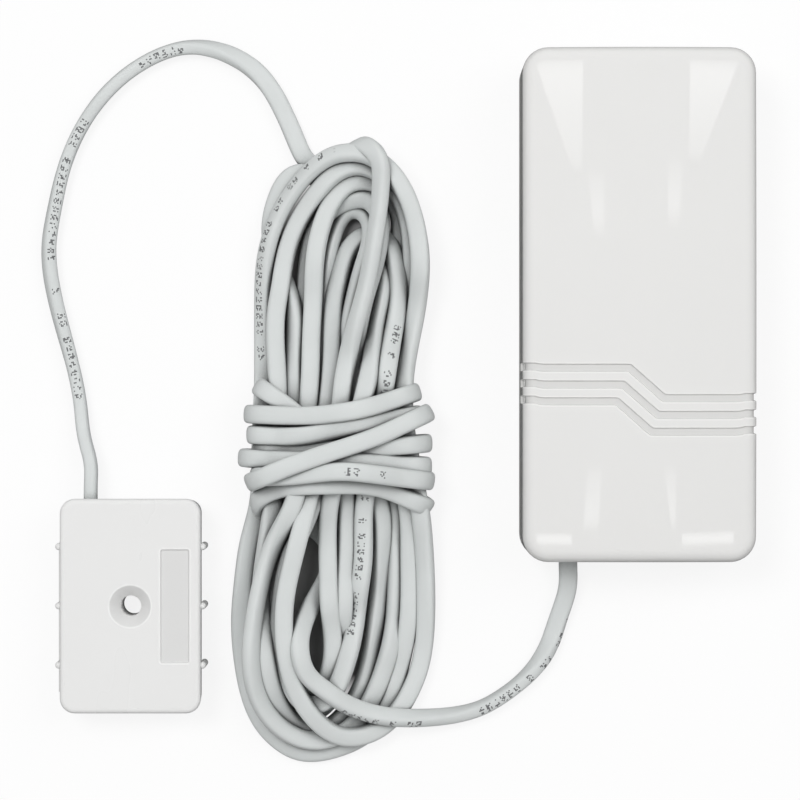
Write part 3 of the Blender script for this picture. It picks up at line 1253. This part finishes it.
def board_finish(node, colour):
    """Solder mask: tracks show as lighter lines in patches, tinned pads on a grid, a bare laminate edge."""
    n = moulded(node + "_mask", colour, roughness=0.32, grain_mm=0.3, grain=0.003, uneven=0.12)
    x, y, z = n.axes()
    patch = n.vector("FLOOR", n.place((1 / PATCH_MM, 1 / PATCH_MM, 0)))
    turned = n.maths("GREATER_THAN", n.chance(patch), TRACK_TURNED)
    drawn = n.maths("GREATER_THAN", n.chance(n.vector("ADD", patch, OTHER_PATCH)), TRACK_BARE)
    way = n.node("ShaderNodeMix", {0: turned, 2: x, 3: y}).outputs[0]
    line = n.maths("LESS_THAN", n.maths("FRACT", n.maths("DIVIDE", way, TRACK_PITCH_MM)), TRACK_SHARE)
    n.overlay(n.both(drawn, line), shade(colour, TRACK_SHADE), roughness=0.26)
    grid = n.place((1 / PAD_PITCH_MM, 1 / PAD_PITCH_MM, 0))
    off = n.vector("SUBTRACT", n.vector("FRACTION", grid), (0.5, 0.5, 0))
    round_pad = n.maths("LESS_THAN", n.vector("LENGTH", off), PAD_R_MM / PAD_PITCH_MM)
    soldered = n.maths("GREATER_THAN", n.chance(n.vector("FLOOR", grid)), PAD_BARE)
    n.overlay(n.both(round_pad, soldered), TIN, metallic=1.0, roughness=0.3)
    low, high = (corner[2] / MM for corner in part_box(node))
    return n.overlay(n.between(z, low + SKIN_MM, high - SKIN_MM), LAMINATE, roughness=0.7)


def cell_finish(colour):
    """Shrink sleeve with a paler band near one end, and plated steel ends."""
    n = moulded("Cell sleeve", colour, roughness=0.22, grain_mm=0.8, grain=0.003, uneven=0.1)
    y = n.axes()[1]
    low, high = (corner[1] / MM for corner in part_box("battery_cell"))
    band_low, band_high = (high - away for away in CELL_BAND_MM)
    n.overlay(n.between(y, band_low, band_high), CELL_BAND, roughness=0.25)
    ends = n.maths("GREATER_THAN", n.aside(y, (low + high) / 2), (high - low) / 2 - CELL_END_MM)
    return n.overlay(ends, STEEL, metallic=1.0, roughness=0.28)


def capacitor_finish():
    """Sleeve with a pale stripe down one side and the can's bare aluminium top."""
    n = moulded("Capacitor sleeve", CAPACITOR_SLEEVE, roughness=0.25, grain_mm=0.6, grain=0.003, uneven=0.1)
    _, y, z = n.axes()
    centre = middle_of("reservoir_capacitor")
    stripe = n.maths("GREATER_THAN", y, centre[1] + STRIPE_AWAY_MM)
    n.overlay(stripe, CAPACITOR_STRIPE, roughness=0.3)
    inside = n.maths("LESS_THAN", n.away(*centre[:2]), CAN_R_MM)
    high = n.maths("GREATER_THAN", z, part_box("reservoir_capacitor")[1][2] / MM - CAN_EDGE_MM)
    return n.overlay(n.both(inside, high), ALUMINIUM, metallic=1.0, roughness=0.35)


def chip_finish():
    """Black epoxy with a moulded dot at one corner, and tinned legs beyond its sides."""
    n = moulded("Chip epoxy", EPOXY, roughness=0.5, grain_mm=0.25, grain=0.006, uneven=0.15)
    centre = middle_of("controller_chip")
    dot = n.maths("LESS_THAN", n.away(*(centre[:2] + DOT_AT_MM)), DOT_R_MM)
    n.overlay(dot, EPOXY_DOT, roughness=0.25)
    legs = n.maths("GREATER_THAN", n.aside(n.axes()[0], centre[0]), CHIP_HALF_MM)
    return n.overlay(legs, TIN, metallic=1.0, roughness=0.3)


def dress_packed_pieces(looks):
    """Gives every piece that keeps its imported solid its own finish."""
    finishes = {
        "rear_cover": moulded("Rear cover plastic", looks.housing_colour, roughness=0.36, grain_mm=0.35,
                              grain=0.006, uneven=0.02),
        "circuit_board": board_finish("circuit_board", looks.board_colour),
        "probe_board": board_finish("probe_board", looks.board_colour),
        "controller_chip": chip_finish(),
        "battery_cell": cell_finish(looks.cell_colour),
        "reservoir_capacitor": capacitor_finish(),
    }
    for make, table in ((moulded, MOULDINGS), (metal, METALS)):
        for *values, nodes in table:
            finishes.update(dict.fromkeys(nodes, make(*values)))
    for node, finish in finishes.items():
        give(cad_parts[node], finish.material)


# Stage


WHITE = (1, 1, 1, 1)
FLOOR_HALF = 1.5
FLOOR_GAP = 0.0001
FLOOR_COLOUR = (0.6, 0.6, 0.6)
FLOOR_MOTTLE_SCALE = 0.01
FLOOR_MOTTLE_SHADE = 0.97
# Share of the floor's colour that gloss shows
FLOOR_GLOSS_SHADE = 0.15
FLOOR_GLOW = 1.12
# The floor's white fades where strands close it in: middle and half axes of a squarish oval under the hank,
# where the root of the sum of the fourth powers is 1, its value where the fade starts, and the shade inside
HANK_AT_MM = (-64.0, -29.0)
HANK_HALF_MM = (17.0, 57.0)
HANK_FADE = 0.78
FLOOR_HOLLOW_SHADE = 0.5
KEY_AT = (-0.45, 0.3, 1.2)
KEY_SIZE = 0.45
FILL_AT = (0.6, 0.3, 1.0)
FILL_SIZE = 0.8
# Sheets that the glossy crown mirrors: rows of y, left x, right x and glow, and the strength
CARD_HEIGHT = 1.5
CARDS = (
    ("card_left", [(0.33, -0.238, -0.07, 0), (0.3, -0.209, -0.07, 1), (0.195, -0.108, -0.074, 0.55),
                   (0.183, -0.1, -0.076, 0)], 3.3),
    ("card_right", [(0.333, 0.27, 0.45, 0), (0.303, 0.269, 0.415, 1), (0.208, 0.264, 0.306, 0.55),
                    (0.196, 0.265, 0.294, 0)], 3.3),
    ("card_left_low", [(0.187, -0.055, -0.005, 0.5), (0.14, -0.041, -0.005, 1),
                       (0.11, -0.034, -0.005, 0.2)], 2.6),
    ("card_right_low", [(0.202, 0.196, 0.244, 0.5), (0.15, 0.196, 0.236, 1),
                        (0.122, 0.197, 0.232, 0.2)], 2.6),
    ("card_left_near", [(-0.137, -0.055, -0.011, 0.6), (-0.19, -0.067, -0.02, 1),
                        (-0.204, -0.07, -0.023, 0.4)], 2.8),
    ("card_right_near", [(-0.137, 0.184, 0.222, 0.6), (-0.19, 0.205, 0.223, 1),
                         (-0.204, 0.21, 0.223, 0.4)], 2.8),
    ("card_left_foot", [(-0.207, -0.22, -0.105, 0.6), (-0.213, -0.22, -0.105, 1),
                        (-0.219, -0.22, -0.105, 0.6)], 4.2),
    ("card_right_foot", [(-0.207, 0.242, 0.41, 0.6), (-0.213, 0.242, 0.41, 1),
                         (-0.221, 0.242, 0.41, 0.6)], 4.2),
)


def area_lamp(name, at, aim, size, power):
    """Square lamp at a point, turned to another one; gloss doesn't show it."""
    light = bpy.data.lights.new(name, "AREA")
    light.size = size
    light.energy = power
    obj = bpy.data.objects.new(name, light)
    obj.location = at
    way = np.subtract(at, aim)
    side = np.hypot(way[0], way[1])
    obj.rotation_euler = (math.atan2(side, way[2]), 0, math.atan2(way[0], -way[1]) if side > 0 else 0)
    obj.visible_glossy = False
    bpy.context.scene.collection.objects.link(obj)
    return obj


def reflection_card(name, rows, strength):
    """Bright sheet above the table that only glossy surfaces show: rows of y, left x, right x and glow."""
    points = [(x, y, CARD_HEIGHT) for y, left, right, _ in rows for x in (left, right)]
    glow = np.repeat([row[3] for row in rows], 2)
    obj = add_mesh(name, points, grid_faces(len(rows), 2), {"glow": glow})
    n = Nodes(name)
    power = n.maths("MULTIPLY", n.attribute("glow"), strength)
    n.show(n.node("ShaderNodeEmission", {"Color": WHITE, "Strength": power}))
    give(obj, n.material)
    obj.visible_camera = False
    obj.visible_diffuse = False
    obj.visible_shadow = False
    obj.visible_transmission = False
    return obj


def studio_world(looks):
    """White room: an even light, and a brighter tent that only gloss shows."""
    world = bpy.data.worlds.new("Studio")
    world.use_nodes = True
    tree = world.node_tree
    glossy = tree.nodes.new("ShaderNodeLightPath").outputs["Is Glossy Ray"]
    level = tree.nodes.new("ShaderNodeMapRange")
    level.inputs["To Min"].default_value = looks.room_light
    level.inputs["To Max"].default_value = looks.tent_light
    tree.links.new(glossy, level.inputs["Value"])
    tree.nodes["Background"].inputs[0].default_value = WHITE
    tree.links.new(level.outputs[0], tree.nodes["Background"].inputs[1])
    return world


def floor_material(looks):
    """Grey floor that the camera sees almost white, but darker under the hank and in gloss."""
    n = Nodes("Floor")
    rays = n.node("ShaderNodeLightPath").outputs
    shift = tuple(at - c / MM for at, c in zip(HANK_AT_MM, CAMERA_AT))
    off = n.vector("SUBTRACT", n.place((1, 1, 0)), (*shift, 0))
    off = n.vector("DIVIDE", off, (*HANK_HALF_MM, 1))
    clear = n.fit(n.vector("LENGTH", n.vector("MULTIPLY", off, off)), 0, 1, HANK_FADE, 1.0)
    grey = n.fit(n.noise(n.place(), FLOOR_MOTTLE_SCALE, detail=2.0), 0, 1)
    plain = n.blend(grey, FLOOR_COLOUR, shade(FLOOR_COLOUR, FLOOR_MOTTLE_SHADE))
    plain = n.blend(rays["Is Glossy Ray"], plain, shade(FLOOR_COLOUR, FLOOR_GLOSS_SHADE))
    n.set(base_color=n.blend(clear, shade(FLOOR_COLOUR, FLOOR_HOLLOW_SHADE), plain), roughness=0.9)
    glow = n.node("ShaderNodeEmission", {"Color": WHITE, "Strength": FLOOR_GLOW})
    white = n.both(rays["Is Camera Ray"], clear, looks.floor_white)
    n.show(n.node("ShaderNodeMixShader", {0: white, 1: n.surface.outputs[0], 2: glow.outputs[0]}))
    return n.material


def build_stage(looks):
    """White floor, soft lamps, and the camera straight above the table."""
    scene = bpy.context.scene
    scene.world = studio_world(looks)
    h = FLOOR_HALF
    floor = add_mesh("floor", [(-h, -h, 0), (h, -h, 0), (h, h, 0), (-h, h, 0)], [(0, 1, 2, 3)])
    floor.location = (*CAMERA_AT, -FLOOR_GAP)
    give(floor, floor_material(looks))
    aim = (*CAMERA_AT, 0)
    area_lamp("key", KEY_AT, aim, KEY_SIZE, looks.key_power)
    area_lamp("fill", FILL_AT, aim, FILL_SIZE, looks.fill_power)
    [reflection_card(name, corners, strength) for name, corners, strength in CARDS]
    lens = bpy.data.cameras.new("camera")
    lens.lens = CAMERA_LENS
    lens.sensor_width = CAMERA_SENSOR
    camera = bpy.data.objects.new("camera", lens)
    camera.location = (*CAMERA_AT, CAMERA_HEIGHT)
    scene.collection.objects.link(camera)
    scene.camera = camera
    scene.view_settings.view_transform = "Standard"


# Settings, operators and panel


COLOUR = {"subtype": "COLOR", "size": 3}


class LeakSensorLooks(bpy.types.PropertyGroup):
    """Sizes and colours that a user would change."""

    cord_width: bpy.props.FloatProperty(
        name="Cord width", description="Width of the flat cord", default=CORD_W_MM * MM, unit="LENGTH")
    cord_thickness: bpy.props.FloatProperty(
        name="Cord thickness", description="Thickness of the flat cord", default=CORD_T_MM * MM,
        unit="LENGTH")
    cord_colour: bpy.props.FloatVectorProperty(
        name="Cord", description="Colour of the cord's jacket", default=(0.715, 0.742, 0.736), **COLOUR)
    ink_colour: bpy.props.FloatVectorProperty(
        name="Marks", description="Colour of the marks on the cord", default=(0.06, 0.06, 0.065), **COLOUR)
    housing_colour: bpy.props.FloatVectorProperty(
        name="Housing", description="Colour of the transmitter's plastic", default=(0.815, 0.812, 0.8),
        **COLOUR)
    probe_colour: bpy.props.FloatVectorProperty(
        name="Probe", description="Colour of the probe's plastic", default=(0.845, 0.845, 0.838), **COLOUR)
    board_colour: bpy.props.FloatVectorProperty(
        name="Boards", description="Colour of the boards' solder mask", default=(0.03, 0.2, 0.09), **COLOUR)
    cell_colour: bpy.props.FloatVectorProperty(
        name="Cell", description="Colour of the cell's sleeve", default=(0.1, 0.16, 0.3), **COLOUR)
    core_colour: bpy.props.FloatVectorProperty(
        name="Core", description="Colour of the cord's first core", default=(0.5, 0.06, 0.05), **COLOUR)
    housing_roughness: bpy.props.FloatProperty(
        name="Housing roughness", description="0 is a mirror, 1 is dull", default=0.02, min=0, max=1)
    room_light: bpy.props.FloatProperty(
        name="Room light", description="Even light from all round", default=0.36, min=0)
    tent_light: bpy.props.FloatProperty(
        name="Tent", description="Brightness of the white tent that gloss shows", default=0.9, min=0)
    key_power: bpy.props.FloatProperty(
        name="Key lamp", description="Lamp behind on the left", default=7.6, min=0, unit="POWER")
    fill_power: bpy.props.FloatProperty(
        name="Fill lamp", description="Lamp behind on the right", default=4.2, min=0, unit="POWER")
    floor_white: bpy.props.FloatProperty(
        name="Floor white", description="Share of even white in the floor as the camera sees it",
        default=0.76, min=0, max=1)


class LEAK_OT_cord(bpy.types.Operator):
    """Lay the cord from the transmitter through its hank to the probe"""

    bl_idname = "leak_sensor.cord"
    bl_label = "Cord"

    def execute(self, context):
        build_cord(context.scene.leak_sensor_looks)
        return {"FINISHED"}


class LEAK_OT_front_cover(bpy.types.Operator):
    """Mould the crowned front cover with its stepped grooves"""

    bl_idname = "leak_sensor.front_cover"
    bl_label = "Front cover"

    def execute(self, context):
        build_front_cover(context.scene.leak_sensor_looks)
        return {"FINISHED"}


class LEAK_OT_probe_housing(bpy.types.Operator):
    """Mould the probe's housing with its ribs, countersunk bore and label recess"""

    bl_idname = "leak_sensor.probe_housing"
    bl_label = "Probe housing"

    def execute(self, context):
        build_probe_housing(context.scene.leak_sensor_looks)
        return {"FINISHED"}


class LEAK_OT_core_wires(bpy.types.Operator):
    """Lead the cord's two cores to the terminal block and to the probe's board"""

    bl_idname = "leak_sensor.core_wires"
    bl_label = "Core wires"

    def execute(self, context):
        build_core_wires(context.scene.leak_sensor_looks)
        return {"FINISHED"}


class LEAK_OT_packed_pieces(bpy.types.Operator):
    """Finish the pieces inside the transmitter and the probe, and the covers behind them"""

    bl_idname = "leak_sensor.packed_pieces"
    bl_label = "Inner pieces"

    def execute(self, context):
        dress_packed_pieces(context.scene.leak_sensor_looks)
        return {"FINISHED"}


class LEAK_OT_stage(bpy.types.Operator):
    """Set up the floor, the lamps and the camera"""

    bl_idname = "leak_sensor.stage"
    bl_label = "Stage"

    def execute(self, context):
        build_stage(context.scene.leak_sensor_looks)
        return {"FINISHED"}


OPERATORS = (
    LEAK_OT_stage, LEAK_OT_cord, LEAK_OT_front_cover, LEAK_OT_probe_housing, LEAK_OT_core_wires,
    LEAK_OT_packed_pieces,
)


class LEAK_PT_panel(bpy.types.Panel):
    """Lists the settings and the pieces"""

    bl_idname = "LEAK_PT_panel"
    bl_label = "Leak Sensor"
    bl_space_type = "VIEW_3D"
    bl_region_type = "UI"
    bl_category = "Leak Sensor"

    def draw(self, context):
        looks = context.scene.leak_sensor_looks
        for key in LeakSensorLooks.__annotations__:
            self.layout.prop(looks, key)
        for operator in OPERATORS:
            self.layout.operator(operator.bl_idname)


def register():
    for item in (LeakSensorLooks, *OPERATORS, LEAK_PT_panel):
        bpy.utils.register_class(item)
    bpy.types.Scene.leak_sensor_looks = bpy.props.PointerProperty(type=LeakSensorLooks)


def unregister():
    del bpy.types.Scene.leak_sensor_looks
    for item in reversed((LeakSensorLooks, *OPERATORS, LEAK_PT_panel)):
        bpy.utils.unregister_class(item)


def main():
    register()
    bpy.ops.leak_sensor.stage()
    bpy.ops.leak_sensor.cord()
    bpy.ops.leak_sensor.front_cover()
    bpy.ops.leak_sensor.probe_housing()
    bpy.ops.leak_sensor.core_wires()
    bpy.ops.leak_sensor.packed_pieces()


if __name__ == "__main__":
    main()
